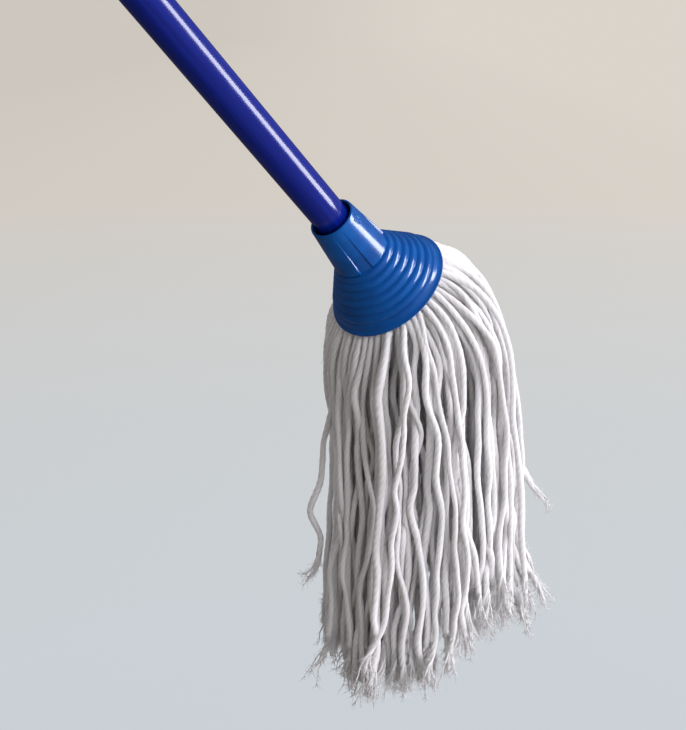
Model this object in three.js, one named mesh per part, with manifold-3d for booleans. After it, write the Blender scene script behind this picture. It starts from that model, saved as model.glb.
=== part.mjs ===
// A round cotton string mop: a coated steel handle with a hanging eye at its top and a screw tip at its
// foot, turned into a ribbed plastic socket that clamps a skirt of twisted cotton yarn.
//
// Units are millimetres and +Z is up. The mop is held up by its handle, which leans with its foot
// towards +X, and the yarn hangs straight down. The origin is on the handle's axis, in the leading hand.
// "Along" always means the distance along the handle's axis towards the foot. Pieces at the foot are
// drawn from the socket's mouth, so their places along the axis are negative above the mouth.

import * as THREE from "three";
import { mergeVertices } from "three/addons/utils/BufferGeometryUtils.js";
import Module from "manifold-3d";

// The handle.
const LEAN = THREE.MathUtils.degToRad(45); // from upright
const TUBE_RADIUS = 11; // the common 22 mm broom tube
const TUBE_WALL = 0.6;
const TUBE_LENGTH = 1080;
const HAND_BELOW_TOP = 250; // the leading hand, from the tube's top end
const GAP = 0.3; // between pieces that touch
const SUNK = 1; // how far shapes that are joined into one piece reach into each other

// The screw, a coarse rounded right-hand thread.
const THREAD_RADIUS = 10.5;
const THREAD_DEPTH = 1.5;
const THREAD_PITCH = 5;
const THREAD_TURNS = 5;
const THREAD_PLAY = 0.35; // radial
const THREAD_SIDES = 20;
const THREAD_STEPS = 7; // for one pitch
const NEAR_AXIS = 0.05; // as a share of the radius: the rod's end points that stay on the axis
const SHOULDER = 3; // between the tube's end and the thread

// The socket: a tapered sleeve, and a ribbed cone that opens to the mouth.
const SLEEVE_RIM_RADIUS = 14.6;
const SLEEVE_BASE_RADIUS = 17.7;
const SLEEVE_LENGTH = 35;
const SLEEVE_ROOM = 2; // round the tube
const TUBE_IN_SLEEVE = 8;
const CONE_LENGTH = 33;
const MOUTH_RADIUS = 40;
const CONE_WALL = 1.8;
const CEILING = -29; // the cone's closed inner end
const RIBS = 6;
const RIB_PITCH = 5.3; // down the cone's slope
const RIB_HEIGHT = 1.3;
const RIB_STEPS = 4;
const SOCKET_SIDES = 40;
const GRIP_PANELS = 4;
const PANEL_SPREAD = THREE.MathUtils.degToRad(64);
const PANEL_TURN = THREE.MathUtils.degToRad(-6);
const PANEL_PROUD = 1.2; // at the sleeve's base

// The skirt: locks of yarn side by side in one ring, each a bundle of about thirteen strands.
const LOCKS = 18;
const STRAND_LENGTH = 248; // beyond the mouth
const ROOT_INSIDE = 20; // how far the locks reach above the mouth
const CLAMPED_RING = 30.6; // radius of the ring of locks at the mouth
const HANGING_RING = 53; // and where they hang
const LOCK_SHARE = 0.163; // a lock's radius, as a share of its ring's
const FLARE_DROP = 8; // how soon the ring widens
const SPREAD_SLOPE = 0.03; // how much wider it keeps getting
const SIDE_SHIFT = 37; // how far the skirt's centre line ends up beside the mouth's centre
const LOCK_SIDES = 8;
const LOCK_STEPS = 15;

// The skirt swings about a line across the handle's axis. The clamped roots end on a cylinder about that
// line, so that the hanging part turns round them like a ball in a cup.
const PIVOT_BELOW_MOUTH = 41;
const KNUCKLE_RADIUS = 72;
const KNUCKLE_GAP = 0.5; // to each side of the cylinder
const KNUCKLE_SIDES = 64;

// Worked out from the above.
const TUBE_TOP = -HAND_BELOW_TOP;
const TUBE_FOOT = TUBE_TOP + TUBE_LENGTH;
const SLEEVE_BASE = -CONE_LENGTH;
const SLEEVE_RIM = SLEEVE_BASE - SLEEVE_LENGTH;
const MOUTH = TUBE_FOOT - TUBE_IN_SLEEVE - SLEEVE_RIM;
const THREAD_TOP = SLEEVE_RIM + TUBE_IN_SLEEVE + SHOULDER;
const THREAD_FOOT = THREAD_TOP + THREAD_TURNS * THREAD_PITCH;
const MOUTH_CENTRE = new THREE.Vector3(MOUTH * Math.sin(LEAN), 0, -MOUTH * Math.cos(LEAN));
const DOWN_THE_HANDLE = MOUTH_CENTRE.clone().normalize();
const ACROSS = new THREE.Vector3(0, 1, 0);

const plastic = (color) => new THREE.MeshStandardMaterial({ color, roughness: 0.3, metalness: 0 });
const filmBlue = () => new THREE.MeshStandardMaterial({ color: 0x26309a, roughness: 0.22, metalness: 0.1 });
const steel = () => new THREE.MeshStandardMaterial({ color: 0xb8bcc2, roughness: 0.35, metalness: 1 });
const cotton = () => new THREE.MeshStandardMaterial({ color: 0xe4e1de, roughness: 0.95, metalness: 0 });
const SOCKET_BLUE = 0x1260c0;
const TIP_BLUE = 0x20308c;
const PLUG_WHITE = 0xdadde0;

function named(name, geometry, material) {
  const mesh = new THREE.Mesh(geometry, material);
  mesh.name = name;
  return mesh;
}

// ---- Solids ----

const wasm = await Module();
wasm.setup();

const WELD = 1e-4;

// The closed geometry as a solid that can be joined and cut.
function solidOf(geometry) {
  const bare = geometry.clone();
  bare.deleteAttribute("normal");
  bare.deleteAttribute("uv");
  const welded = mergeVertices(bare, WELD);
  return new wasm.Manifold(
    new wasm.Mesh({
      numProp: 3,
      vertProperties: new Float32Array(welded.attributes.position.array),
      triVerts: new Uint32Array(welded.index.array),
    }),
  );
}

function geometryOf(solid) {
  const mesh = solid.getMesh();
  const geometry = new THREE.BufferGeometry();
  geometry.setAttribute("position", new THREE.BufferAttribute(mesh.vertProperties, 3));
  geometry.setIndex(new THREE.BufferAttribute(mesh.triVerts, 1));
  geometry.computeVertexNormals();
  return geometry;
}

// A body of revolution about +Z. The outline is a list of [radius, along], outer side first.
function turned(outline, sides) {
  const points = outline.map(([radius, along]) => new THREE.Vector2(radius, along));
  return new THREE.LatheGeometry(points, sides).rotateX(Math.PI / 2);
}

// A closed ring of an outline that stays off the axis.
const turnedRing = (outline, sides) => turned([...outline, outline[0]], sides);

function rod(radius, from, to, sides) {
  const geometry = new THREE.CylinderGeometry(radius, radius, to - from, sides);
  return geometry.rotateX(Math.PI / 2).translate(0, 0, (from + to) / 2);
}

// A rod with the rounded right-hand thread. grow widens it, for the bore that it turns in.
function threadedRod(from, to, grow) {
  const length = to - from;
  const steps = Math.ceil((length / THREAD_PITCH) * THREAD_STEPS);
  const geometry = new THREE.CylinderGeometry(1, 1, length, THREAD_SIDES, steps);
  geometry.rotateX(Math.PI / 2).translate(0, 0, (from + to) / 2);
  const place = geometry.attributes.position;
  for (let i = 0; i < place.count; i += 1) {
    const [x, y, z] = [place.getX(i), place.getY(i), place.getZ(i)];
    const spoke = Math.hypot(x, y);
    const turn = Math.atan2(y, x) / (2 * Math.PI);
    const hollow = (1 - Math.cos(2 * Math.PI * (z / THREAD_PITCH - turn))) / 2;
    const radius = THREAD_RADIUS + grow - THREAD_DEPTH * hollow;
    if (spoke > THREAD_RADIUS * NEAR_AXIS) {
      place.setXY(i, (x / spoke) * radius, (y / spoke) * radius);
    }
  }
  return geometry;
}

// ---- The handle ----

const TUBE_SIDES = 32;

function handleTube() {
  const inner = TUBE_RADIUS - TUBE_WALL;
  const outline = [
    [inner, 0],
    [TUBE_RADIUS, 0],
    [TUBE_RADIUS, TUBE_LENGTH],
    [inner, TUBE_LENGTH],
  ];
  const mesh = named("handle_tube", turnedRing(outline, TUBE_SIDES), filmBlue());
  mesh.position.z = TUBE_TOP;
  return mesh;
}

// The plastic tip: a spigot in the tube, a shoulder against its end, and the thread.
function screwTip() {
  const spigotRadius = TUBE_RADIUS - TUBE_WALL - GAP;
  const spigotLength = 24;
  const shoulderTop = THREAD_TOP - SHOULDER + GAP;
  const spigot = solidOf(rod(spigotRadius, shoulderTop - spigotLength, shoulderTop + SUNK, TUBE_SIDES));
  const shoulder = solidOf(rod(TUBE_RADIUS, shoulderTop, THREAD_TOP + SUNK, TUBE_SIDES));
  const thread = solidOf(threadedRod(THREAD_TOP, THREAD_FOOT, 0));
  return named("screw_tip", geometryOf(spigot.add(shoulder).add(thread)), plastic(TIP_BLUE));
}

// The cap at the top: a spigot in the tube, a flange over its end, and a flat lug with a hanging eye.
function endCap() {
  const spigotLength = 24;
  const flange = 4;
  const flangeRadius = 11.6;
  const lugThickness = 6;
  const lugRadius = 11;
  const eyeRadius = 5;
  const eyeAboveFlange = 15;
  const spigot = solidOf(rod(TUBE_RADIUS - TUBE_WALL - GAP, -GAP - SUNK, spigotLength, TUBE_SIDES));
  const collar = solidOf(rod(flangeRadius, -flange - GAP, -GAP, TUBE_SIDES));
  const outline = new THREE.Shape();
  outline.moveTo(lugRadius, -flange);
  outline.lineTo(lugRadius, -flange - eyeAboveFlange);
  outline.absarc(0, -flange - eyeAboveFlange, lugRadius, 0, Math.PI, true);
  outline.lineTo(-lugRadius, -flange);
  const eye = new THREE.Path().absarc(0, -flange - eyeAboveFlange, eyeRadius, 0, 2 * Math.PI, false);
  outline.holes.push(eye);
  const flat = { depth: lugThickness, bevelEnabled: false, curveSegments: 10 };
  const lug = new THREE.ExtrudeGeometry(outline, flat);
  lug.rotateX(Math.PI / 2).translate(0, lugThickness / 2, 0);
  const mesh = named("end_cap", geometryOf(spigot.add(collar).add(solidOf(lug))), plastic(TIP_BLUE));
  mesh.position.z = TUBE_TOP;
  return mesh;
}

// ---- The socket and what it clamps with ----

const coneSlope = (MOUTH_RADIUS - SLEEVE_BASE_RADIUS) / CONE_LENGTH;
const coneSpread = Math.atan(coneSlope);

// The cone's outer side, down its slope: rounded ribs, then a plain band to the mouth.
function ribbedSide() {
  const points = [];
  for (let rib = 0; rib < RIBS; rib += 1) {
    for (let step = 0; step < RIB_STEPS; step += 1) {
      const down = (rib + step / RIB_STEPS) * RIB_PITCH;
      const proud = RIB_HEIGHT * Math.sin((Math.PI * step) / RIB_STEPS);
      points.push([
        SLEEVE_BASE_RADIUS + down * Math.sin(coneSpread) + proud * Math.cos(coneSpread),
        SLEEVE_BASE + down * Math.cos(coneSpread) - proud * Math.sin(coneSpread),
      ]);
    }
  }
  points.push([
    SLEEVE_BASE_RADIUS + RIBS * RIB_PITCH * Math.sin(coneSpread),
    SLEEVE_BASE + RIBS * RIB_PITCH * Math.cos(coneSpread),
  ]);
  return points;
}

// The four raised panels on the sleeve, each a wedge cut from a slightly steeper sleeve.
function gripPanels() {
  const embedded = 1.5;
  const outline = [
    [SLEEVE_RIM_RADIUS - embedded, SLEEVE_RIM + embedded],
    [SLEEVE_RIM_RADIUS, SLEEVE_RIM + embedded],
    [SLEEVE_BASE_RADIUS + PANEL_PROUD, SLEEVE_BASE],
    [SLEEVE_BASE_RADIUS - embedded, SLEEVE_BASE + embedded],
  ];
  const steeper = solidOf(turnedRing(outline, SOCKET_SIDES));
  const reach = 2 * MOUTH_RADIUS;
  const wedge = new THREE.Shape();
  wedge.moveTo(0, 0);
  wedge.lineTo(reach * Math.cos(PANEL_SPREAD / 2), -reach * Math.sin(PANEL_SPREAD / 2));
  wedge.lineTo(reach * Math.cos(PANEL_SPREAD / 2), reach * Math.sin(PANEL_SPREAD / 2));
  const panels = [];
  for (let i = 0; i < GRIP_PANELS; i += 1) {
    const cut = new THREE.ExtrudeGeometry(wedge, { depth: reach, bevelEnabled: false });
    cut.translate(0, 0, SLEEVE_RIM).rotateZ(PANEL_TURN + (2 * Math.PI * i) / GRIP_PANELS);
    panels.push(steeper.intersect(solidOf(cut)));
  }
  return panels;
}

function socket() {
  const innerMouth = MOUTH_RADIUS - CONE_WALL;
  const innerCeiling = innerMouth + CEILING * coneSlope;
  const sleeveBore = TUBE_RADIUS + SLEEVE_ROOM;
  const core = THREAD_RADIUS - THREAD_DEPTH - SUNK; // narrower than the bore that is cut through it
  const rimRound = 0.8;
  const boreTop = THREAD_TOP + SUNK;
  const shell = turnedRing(
    [
      [sleeveBore + rimRound / 2, SLEEVE_RIM],
      [SLEEVE_RIM_RADIUS - rimRound / 2, SLEEVE_RIM],
      [SLEEVE_RIM_RADIUS, SLEEVE_RIM + rimRound],
      ...ribbedSide(),
      [MOUTH_RADIUS, 0],
      [innerMouth, 0],
      [innerCeiling, CEILING],
      [core, CEILING],
      [core, boreTop],
      [sleeveBore, boreTop],
      [sleeveBore, SLEEVE_RIM + rimRound],
    ],
    SOCKET_SIDES,
  );
  const bore = solidOf(threadedRod(boreTop - SUNK, CEILING + SUNK, THREAD_PLAY));
  let solid = solidOf(shell);
  for (const panel of gripPanels()) {
    solid = solid.add(panel);
  }
  return named("socket", geometryOf(solid.subtract(bore)), plastic(SOCKET_BLUE));
}

// The conical plug that presses the yarn against the cone from inside.
function clampPlug() {
  const top = CEILING + GAP;
  const foot = -3;
  const topRadius = 10;
  const footRadius = 22;
  const wall = 2.4;
  const outline = [
    [0, top],
    [topRadius, top],
    [footRadius, foot],
    [footRadius - wall, foot],
    [topRadius - wall, top + wall],
    [0, top + wall],
  ];
  return named("clamp_plug", turned(outline, SOCKET_SIDES), plastic(PLUG_WHITE));
}

// The wire ring that the yarn is folded round, just above the locks' roots.
function yarnRing() {
  const radius = 18;
  const wireRadius = 1.5;
  const wireSides = 8;
  const aboveRoots = 2;
  const ring = new THREE.TorusGeometry(radius, wireRadius, wireSides, SOCKET_SIDES);
  const mesh = named("yarn_ring", ring, steel());
  mesh.position.z = -ROOT_INSIDE - wireRadius - aboveRoots;
  return mesh;
}

// ---- The yarn ----

// A lock's centre. place is negative above the mouth, where it counts along the axis, and positive below
// it, where it counts how far the skirt's centre line has dropped.
function lockCentre(angle, place) {
  const drop = Math.max(place, 0);
  const leaning = Math.exp((-drop * Math.tan(LEAN)) / SIDE_SHIFT); // 1 along the handle, 0 straight down
  const outward = new THREE.Vector3(1, 0, leaning * Math.tan(LEAN)).normalize();
  const ring = ringRadius(place);
  return MOUTH_CENTRE.clone()
    .addScaledVector(DOWN_THE_HANDLE, Math.min(place, 0))
    .add(new THREE.Vector3(SIDE_SHIFT * (1 - leaning), 0, -drop))
    .addScaledVector(outward, ring * Math.cos(angle))
    .addScaledVector(ACROSS, ring * Math.sin(angle));
}

function ringRadius(place) {
  if (place < 0) {
    return CLAMPED_RING + place * coneSlope;
  }
  const drops = place / FLARE_DROP;
  const flare = 1 - (1 + drops) * Math.exp(-drops);
  return CLAMPED_RING + (HANGING_RING - CLAMPED_RING) * flare + SPREAD_SLOPE * place;
}

// The place at which a lock is as long as its strands.
function lockFoot(angle) {
  const step = 1;
  let place = 0;
  let length = 0;
  while (length < STRAND_LENGTH) {
    length += lockCentre(angle, place).distanceTo(lockCentre(angle, place + step));
    place += step;
  }
  return place;
}

// A closed rod bent along a lock, from one place on it to another, with its steps closest at the start.
function bentLock(angle, from, to, steps) {
  const geometry = new THREE.CylinderGeometry(1, 1, 1, LOCK_SIDES, steps);
  const place = geometry.attributes.position;
  const corner = new THREE.Vector3();
  const step = 0.5; // to each side, for the lock's direction
  for (let i = 0; i < place.count; i += 1) {
    corner.fromBufferAttribute(place, i);
    const here = from + (corner.y + 0.5) ** 2 * (to - from);
    const centre = lockCentre(angle, here);
    const ahead = lockCentre(angle, here + step).sub(lockCentre(angle, here - step)).normalize();
    const aside = new THREE.Vector3().crossVectors(ahead, ACROSS).normalize();
    const across = new THREE.Vector3().crossVectors(aside, ahead);
    const radius = LOCK_SHARE * ringRadius(here);
    centre.addScaledVector(aside, corner.x * radius).addScaledVector(across, corner.z * radius);
    place.setXYZ(i, centre.x, centre.y, centre.z);
  }
  return solidOf(geometry);
}

// A cylinder across the mop, about the line that the skirt swings on.
function knuckle(radius) {
  const width = 4 * HANGING_RING; // well past the skirt on both sides
  const pivot = MOUTH_CENTRE.clone().addScaledVector(DOWN_THE_HANDLE, PIVOT_BELOW_MOUTH);
  const geometry = new THREE.CylinderGeometry(radius, radius, width, KNUCKLE_SIDES);
  return solidOf(geometry.translate(pivot.x, pivot.y, pivot.z));
}

function skirt() {
  const roots = new THREE.Group();
  const hanging = new THREE.Group();
  const cup = knuckle(KNUCKLE_RADIUS - KNUCKLE_GAP);
  const ball = knuckle(KNUCKLE_RADIUS + KNUCKLE_GAP);
  for (let i = 0; i < LOCKS; i += 1) {
    const angle = (2 * Math.PI * i) / LOCKS;
    const number = String(i + 1).padStart(2, "0");
    const foot = lockFoot(angle);
    const whole = bentLock(angle, -ROOT_INSIDE, foot, LOCK_STEPS);
    roots.add(named(`yarn_root_${number}`, geometryOf(whole.intersect(cup)), cotton()));
    hanging.add(named(`yarn_lock_${number}`, geometryOf(whole.subtract(ball)), cotton()));
  }
  return [roots, hanging];
}

// ---- The mop ----

const handle = new THREE.Group();
handle.rotation.y = Math.PI - LEAN; // turns +Z to point down the handle
handle.add(handleTube(), endCap());

const foot = new THREE.Group();
foot.position.z = MOUTH;
foot.add(screwTip(), socket(), clampPlug(), yarnRing());
handle.add(foot);

const group = new THREE.Group();
group.add(handle, ...skirt());

export default group;
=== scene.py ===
"""Looks of the round cotton string mop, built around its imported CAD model.

Lengths are in millimetres up to the last step, where a piece's points are turned into metres. The foot of
the mop is drawn in the socket's own frame: its origin is the middle of the mouth and +Z is down the handle.
"""

import math

import bpy
import numpy as np
from mathutils import Matrix


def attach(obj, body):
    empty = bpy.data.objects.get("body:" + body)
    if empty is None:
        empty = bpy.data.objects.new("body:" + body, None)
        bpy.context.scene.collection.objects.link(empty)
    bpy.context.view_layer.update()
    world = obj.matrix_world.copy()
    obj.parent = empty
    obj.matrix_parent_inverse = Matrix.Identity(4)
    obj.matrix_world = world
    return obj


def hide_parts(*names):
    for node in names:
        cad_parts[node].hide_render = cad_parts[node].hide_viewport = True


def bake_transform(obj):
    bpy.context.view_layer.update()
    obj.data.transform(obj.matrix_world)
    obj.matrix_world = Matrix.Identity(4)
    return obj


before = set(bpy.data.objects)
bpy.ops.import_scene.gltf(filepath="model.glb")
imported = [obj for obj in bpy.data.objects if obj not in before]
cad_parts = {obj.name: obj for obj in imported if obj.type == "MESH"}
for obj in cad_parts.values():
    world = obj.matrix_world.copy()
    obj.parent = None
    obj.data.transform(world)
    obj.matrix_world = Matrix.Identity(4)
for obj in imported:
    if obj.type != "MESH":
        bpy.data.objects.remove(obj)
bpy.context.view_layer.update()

MM = 0.001
TURN = 2 * math.pi

# ---- The part's own dimensions, as in part.mjs ----

LEAN = math.radians(45)
TUBE_RADIUS = 11.0
TUBE_WALL = 0.6
TUBE_LENGTH = 1080.0
HAND_BELOW_TOP = 250.0  # the leading hand, from the tube's top end
GAP = 0.3

THREAD_RADIUS = 10.5
THREAD_DEPTH = 1.5
THREAD_PITCH = 5.0
THREAD_TURNS = 5
THREAD_PLAY = 0.35
SHOULDER = 3.0

SLEEVE_RIM_RADIUS = 14.6
SLEEVE_BASE_RADIUS = 17.7
SLEEVE_LENGTH = 35.0
SLEEVE_ROOM = 2.0  # round the tube
TUBE_IN_SLEEVE = 8.0
CONE_LENGTH = 33.0
MOUTH_RADIUS = 40.0
CONE_WALL = 1.8
CEILING = -29.0
RIBS = 6
RIB_PITCH = 5.3
RIB_HEIGHT = 1.3
GRIP_PANELS = 4
PANEL_SPREAD = math.radians(64)
PANEL_TURN = math.radians(-6)
PANEL_PROUD = 1.2

STRAND_LENGTH = 248.0
ROOT_INSIDE = 20.0
SIDE_SHIFT = 37.0
SPREAD_SLOPE = 0.03
LOCKS = 18

TUBE_TOP = -HAND_BELOW_TOP  # along the handle's axis
TUBE_FOOT = TUBE_TOP + TUBE_LENGTH
SLEEVE_RIM = -CONE_LENGTH - SLEEVE_LENGTH  # along the axis, from the mouth
SLEEVE_BORE = TUBE_RADIUS + SLEEVE_ROOM
MOUTH = TUBE_FOOT - TUBE_IN_SLEEVE - SLEEVE_RIM
THREAD_TOP = SLEEVE_RIM + TUBE_IN_SLEEVE + SHOULDER
THREAD_FOOT = THREAD_TOP + THREAD_TURNS * THREAD_PITCH
CONE_SLOPE = (MOUTH_RADIUS - SLEEVE_BASE_RADIUS) / CONE_LENGTH
DOWN = np.array([math.sin(LEAN), 0, -math.cos(LEAN)])  # down the handle
ASIDE = np.array([-math.cos(LEAN), 0, -math.sin(LEAN)])
ACROSS = np.array([0.0, 1, 0])
MOUTH_CENTRE = MOUTH * DOWN


def placed(points, origin=MOUTH):
    """Points of the handle's own frame, with their origin at that distance down the handle, in metres."""
    points = np.asarray(points, float)
    axes = np.stack([ASIDE, ACROSS, DOWN])
    return (points @ axes + origin * DOWN) * MM


# ---- The camera ----

VIEW_AZIMUTH = math.radians(-42.6)
VIEW_ELEVATION = math.radians(16.1)
CAMERA_FAR = 740.0  # from the socket's rim
CAMERA_ASIDE = 7.2  # to the rim's right
CAMERA_LOWER = 88.0
CAMERA_LENS = 61.05
CAMERA_SENSOR = 36.0


def direction(azimuth, elevation):
    """The way to something at that azimuth, which is 0 in front and grows to the right."""
    level = np.array([math.sin(azimuth), -math.cos(azimuth), 0])
    return level * math.cos(elevation) + np.array([0, 0, math.sin(elevation)])


BACK = direction(VIEW_AZIMUTH, VIEW_ELEVATION)
RIGHT = np.array([math.cos(VIEW_AZIMUTH), math.sin(VIEW_AZIMUTH), 0])
UP = np.cross(BACK, RIGHT)


def make_camera():
    """Looks slightly down at the mop's foot, from the side that the photograph shows."""
    rim = (MOUTH + SLEEVE_RIM) * DOWN
    spot = rim + CAMERA_FAR * BACK + CAMERA_ASIDE * RIGHT - CAMERA_LOWER * UP
    data = bpy.data.cameras.new("camera")
    data.sensor_width = CAMERA_SENSOR
    data.lens = CAMERA_LENS
    data.clip_start = 0.05
    data.clip_end = 200
    camera = bpy.data.objects.new("camera", data)
    bpy.context.scene.collection.objects.link(camera)
    turn = Matrix([list(row) for row in np.stack([RIGHT, UP, BACK], axis=1)])
    camera.matrix_world = Matrix.Translation(spot * MM) @ turn.to_4x4()
    bpy.context.scene.camera = camera


# ---- Meshes ----


def grid_faces(rows, columns, rows_meet=False):
    """The four corners of each face of a grid of points, numbered row by row, whose columns meet."""
    row, column = np.indices((rows if rows_meet else rows - 1, columns))
    here, after = row * columns, (row + 1) % rows * columns
    beside = (column + 1) % columns
    return np.stack([here + column, here + beside, after + beside, after + column], -1).reshape(-1, 4)


def make_mesh(name, points, faces, extras=None, smooth=True):
    """An object of these points, in metres, and faces of 3 or 4 corners. extras are values at the points."""
    data = bpy.data.meshes.new(name)
    data.vertices.add(len(points))
    data.vertices.foreach_set("co", np.asarray(points, np.float32).ravel())
    corners = np.concatenate([np.asarray(f, np.int32).ravel() for f in faces])
    sizes = np.concatenate([np.full(len(f), np.asarray(f).shape[1], np.int32) for f in faces])
    data.loops.add(len(corners))
    data.loops.foreach_set("vertex_index", corners)
    data.polygons.add(len(sizes))
    data.polygons.foreach_set("loop_start", np.concatenate([[0], np.cumsum(sizes)[:-1]]).astype(np.int32))
    data.update(calc_edges=True)
    data.validate()
    if smooth:
        data.shade_smooth()
    for key, values in (extras or {}).items():
        values = np.asarray(values, np.float32)
        kind, field = ("FLOAT", "value") if values.ndim == 1 else ("FLOAT_VECTOR", "vector")
        data.attributes.new(key, kind, "POINT").data.foreach_set(field, values.ravel())
    made = bpy.data.objects.new(name, data)
    bpy.context.scene.collection.objects.link(made)
    return made


def dressed(piece, body, slot, material, *nodes):
    """The piece rides on a body, takes a material and stands for these CAD nodes."""
    piece.data.materials.append(material)
    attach(piece, body)
    if nodes:
        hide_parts(*nodes)


def round_corners(outline, steps):
    """A closed outline of [radius, along, cut] corners, each with a short arc that starts that far off."""
    made = []
    count = len(outline)
    for i, (*corner, cut) in enumerate(outline):
        here = np.array(corner, float)
        if cut == 0:
            made.append(here)
            continue
        before = np.array(outline[i - 1][:2], float) - here
        after = np.array(outline[(i + 1) % count][:2], float) - here
        start = here + before / np.linalg.norm(before) * cut
        end = here + after / np.linalg.norm(after) * cut
        for step in range(steps + 1):
            t = step / steps
            made.append((1 - t) ** 2 * start + 2 * t * (1 - t) * here + t * t * end)
    return np.array(made)


def turned_ring(outline, angles):
    """Local points and faces of a closed outline turned about the axis."""
    radius = outline[:, 0][:, None]
    along = np.broadcast_to(outline[:, 1][:, None], (len(outline), len(angles)))
    points = np.stack([radius * np.cos(angles), radius * np.sin(angles), along], -1)
    return points, grid_faces(len(outline), len(angles), rows_meet=True)


def full_turn(sides):
    return np.arange(sides) * TURN / sides


# ---- Materials ----

# Plastics, as their deep, usual and worn colours.
TIP_BLUE = ((0.012, 0.022, 0.20), (0.018, 0.032, 0.27), (0.10, 0.13, 0.40))
SOCKET_BLUE = ((0.0005, 0.068, 0.30), (0.0005, 0.104, 0.42), (0.01, 0.17, 0.54))
PLUG_WHITE = ((0.66, 0.67, 0.69), (0.74, 0.75, 0.77), (0.5, 0.5, 0.5))


class Nodes:
    """A shader's node tree under construction. Most of these return a node's output."""

    def __init__(self, tree):
        self.tree = tree

    def node(self, kind, inputs=None, **settings):
        """A new node. Each input is a value to set on its socket, or an output to link to it."""
        made = self.tree.nodes.new("ShaderNode" + kind)
        for key, value in settings.items():
            setattr(made, key, value)
        for socket, given in (inputs or {}).items():
            if isinstance(given, bpy.types.NodeSocket):
                self.tree.links.new(given, made.inputs[socket])
            else:
                made.inputs[socket].default_value = given
        return made

    def attribute(self, name, part="Fac"):
        return self.node("Attribute", attribute_name=name).outputs[part]

    def math(self, operation, first, second):
        return self.node("Math", {0: first, 1: second}, operation=operation).outputs[0]

    def vector(self, operation, first, second, part="Vector"):
        return self.node("VectorMath", {0: first, 1: second}, operation=operation).outputs[part]

    def noise(self, vector, scale, detail=3.0, roughness=0.55):
        """Noise of that scale, which is one number or one for each axis."""
        if isinstance(scale, tuple):
            vector, scale = self.vector("MULTIPLY", vector, scale), 1.0
        inputs = {"Vector": vector, "Scale": scale, "Detail": detail, "Roughness": roughness}
        return self.node("TexNoise", inputs).outputs["Fac"]

    def ranged(self, value, low, high, to_low, to_high):
        inputs = {"Value": value, "From Min": low, "From Max": high, "To Min": to_low, "To Max": to_high}
        return self.node("MapRange", inputs).outputs[0]

    def mixed(self, share, first, second):
        """Between two colours. Each is a colour or another node's output."""
        colours = [(*given, 1) if isinstance(given, tuple) else given for given in (first, second)]
        return self.node("Mix", {0: share, 6: colours[0], 7: colours[1]}, data_type="RGBA").outputs[2]

    def bump(self, height, distance, strength=1.0, under=None):
        inputs = {"Height": height, "Distance": distance, "Strength": strength}
        if under is not None:
            inputs["Normal"] = under
        return self.node("Bump", inputs).outputs[0]


class Look(Nodes):
    """A material under construction: a Principled shader and the nodes that feed it."""

    def __init__(self, name, **settings):
        self.material = bpy.data.materials.new(name)
        self.material.use_nodes = True
        super().__init__(self.material.node_tree)
        self.tree.nodes.clear()
        output = self.node("OutputMaterial")
        self.shader = self.node("BsdfPrincipled")
        self.tree.links.new(self.shader.outputs[0], output.inputs[0])
        for socket, value in settings.items():
            self.shader.inputs[socket.replace("_", " ")].default_value = value

    def feed(self, socket, source):
        self.tree.links.new(source, self.shader.inputs[socket])


def moulded_plastic(name, deep, usual, worn, roughness):
    """Glossy moulded plastic: faint flow marks, an orange-peel skin, and dull scuffs on its crests."""
    look = Look(name, Specular_IOR_Level=0.45, IOR=1.49, Coat_Weight=0.35, Coat_Roughness=0.08)
    place = look.attribute("local", "Vector")
    flow = look.noise(place, (40, 40, 90), 3)
    colour = look.mixed(look.ranged(flow, 0.3, 0.7, 0, 1), deep, usual)
    scratches = look.noise(place, (700, 700, 240), 5, 0.7)
    scuffs = look.math("MULTIPLY", look.ranged(scratches, 0.6, 0.8, 0, 0.6), look.attribute("crest"))
    look.feed("Base Color", look.mixed(scuffs, colour, worn))
    cloudy = look.ranged(look.noise(place, 150, 4), 0.3, 0.7, roughness * 0.85, roughness * 1.2)
    look.feed("Roughness", look.math("ADD", cloudy, look.math("MULTIPLY", scuffs, 0.25)))
    peel = look.bump(look.noise(place, 500, 1), 0.00002, 0.1)
    look.feed("Normal", look.bump(scratches, 0.00001, 0.05, peel))
    return look.material


def handle_film():
    """The violet-blue film on the steel tube: glossy, with fine lengthwise drawing lines and small rubs."""
    look = Look("handle_film", Specular_IOR_Level=0.45, Coat_Weight=0.1, Coat_Roughness=0.1)
    place = look.attribute("local", "Vector")
    streaks = look.noise(place, (420, 420, 5), 4, 0.6)
    colour = look.mixed(look.ranged(streaks, 0.35, 0.65, 0, 1), (0.002, 0.010, 0.18), (0.004, 0.016, 0.25))
    rubs = look.ranged(look.noise(place, (150, 150, 10), 5, 0.7), 0.6, 0.8, 0, 0.4)
    look.feed("Base Color", look.mixed(rubs, colour, (0.03, 0.05, 0.30)))
    look.feed("Roughness", look.math("ADD", look.math("MULTIPLY", rubs, 0.05), 0.17))
    ripple = look.noise(place, (60, 60, 9), 1)
    look.feed("Normal", look.bump(ripple, 0.00002, 0.2))
    return look.material


def galvanised_wire():
    """Zinc-coated steel with a fine spangle."""
    look = Look("galvanised_wire", Metallic=1.0)
    place = look.attribute("local", "Vector")
    spangle = look.noise(place, 500, 4)
    look.feed("Base Color", look.mixed(spangle, (0.42, 0.43, 0.45), (0.62, 0.63, 0.66)))
    look.feed("Roughness", look.ranged(spangle, 0.3, 0.7, 0.28, 0.5))
    look.feed("Normal", look.bump(look.noise(place, 1400, 3), 0.00004))
    return look.material


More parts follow.
